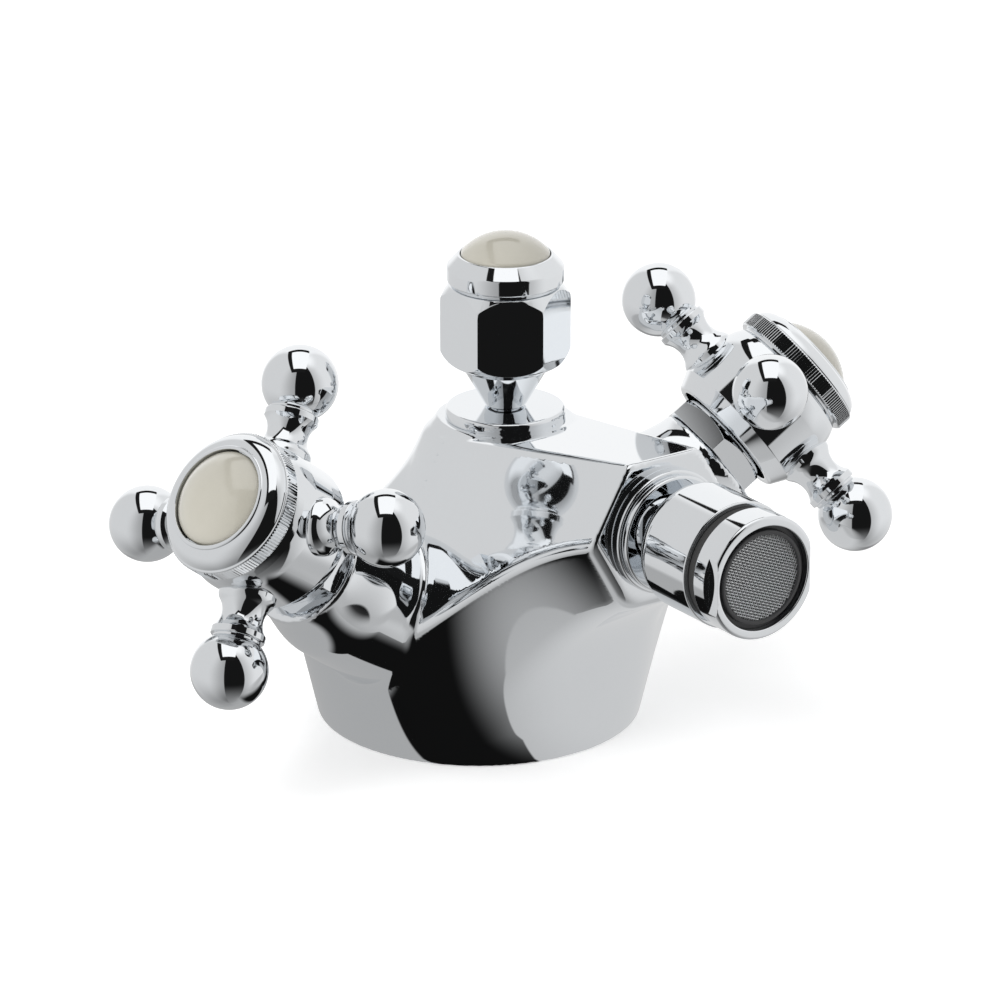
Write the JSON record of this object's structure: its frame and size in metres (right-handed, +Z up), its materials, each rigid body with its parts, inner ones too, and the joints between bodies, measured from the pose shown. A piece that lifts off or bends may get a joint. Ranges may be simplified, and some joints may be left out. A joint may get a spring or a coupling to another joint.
{
  "type": "bidet mixer tap",
  "caption": "Chrome one-hole bidet mixer with crosshead valve handles, a hexagonal pull knob for the waste and a short swivelling ball-joint jet.",
  "frame": {"origin": "centre of the round foot on the deck", "axes": "+Z up, the jet points to -Y, the hot handle is at -X and the cold handle at +X"},
  "size_m": [0.162, 0.1283, 0.1022],
  "materials": {
    "chrome": "polished",
    "ceramic_index": "glossy, glazed ceramic",
    "brass": "machined",
    "disc_ceramic": "lapped technical ceramic",
    "rubber": "matte",
    "steel": "stainless",
    "ptfe": "smooth",
    "black_plastic": "satin"
  },
  "bodies": {
    "tap_body": {"body_casting": "chrome", "base_gasket": "rubber", "rod_guide": "chrome", "rod_seal": "rubber", "jet_ball_stud": "chrome", "jet_stud_washer": "rubber", "hot_bonnet_nut": "chrome", "hot_cartridge_body": "brass", "hot_fixed_disc": "disc_ceramic", "hot_seat_seal": "rubber", "cold_bonnet_nut": "chrome", "cold_cartridge_body": "brass", "cold_fixed_disc": "disc_ceramic", "cold_seat_seal": "rubber"},
    "hot_handle": {"hot_handle_hub": "chrome", "hot_lever_1": "chrome", "hot_lever_2": "chrome", "hot_lever_3": "chrome", "hot_lever_4": "chrome", "hot_index_ring": "chrome", "hot_index_disc": "ceramic_index", "hot_spindle": "brass", "hot_spindle_seal": "rubber", "hot_moving_disc": "disc_ceramic", "hot_handle_screw": "steel"},
    "cold_handle": {"cold_handle_hub": "chrome", "cold_lever_1": "chrome", "cold_lever_2": "chrome", "cold_lever_3": "chrome", "cold_lever_4": "chrome", "cold_index_ring": "chrome", "cold_index_disc": "ceramic_index", "cold_spindle": "brass", "cold_spindle_seal": "rubber", "cold_moving_disc": "disc_ceramic", "cold_handle_screw": "steel"},
    "pull_knob": {"knob_body": "chrome", "knob_cap_ring": "chrome", "knob_dome": "ceramic_index", "lift_rod": "steel"},
    "jet_carrier": {"jet_ball_liner": "ptfe"},
    "jet_nozzle": {"jet_housing": "chrome", "jet_seat_ring": "ptfe", "jet_seal": "rubber", "jet_front_ring": "chrome", "aerator_insert": "black_plastic", "aerator_screen": "steel"}
  },
  "joints": [
    {"name": "hot_turn", "type": "hinge", "parent": "tap_body", "child": "hot_handle", "pos_m": [-0.05894, -0.01338, 0.05539], "axis": [-0.788, -0.1589, 0.5948], "range_deg": [0, 90]},
    {"name": "cold_turn", "type": "hinge", "parent": "tap_body", "child": "cold_handle", "pos_m": [0.05894, -0.01338, 0.05539], "axis": [0.788, -0.1589, 0.5948], "range_deg": [-90, 0]},
    {"name": "knob_lift", "type": "slide", "parent": "tap_body", "child": "pull_knob", "axis": [0, 0, 1], "range_m": [0, 0.03]},
    {"name": "jet_pan", "type": "hinge", "parent": "tap_body", "child": "jet_carrier", "pos_m": [0, -0.075, 0.057], "axis": [0, 0, 1], "range_deg": [-12, 12]},
    {"name": "jet_tilt", "type": "hinge", "parent": "jet_carrier", "child": "jet_nozzle", "pos_m": [0, -0.075, 0.057], "axis": [1, 0, 0], "range_deg": [-12, 12]}
  ]
}
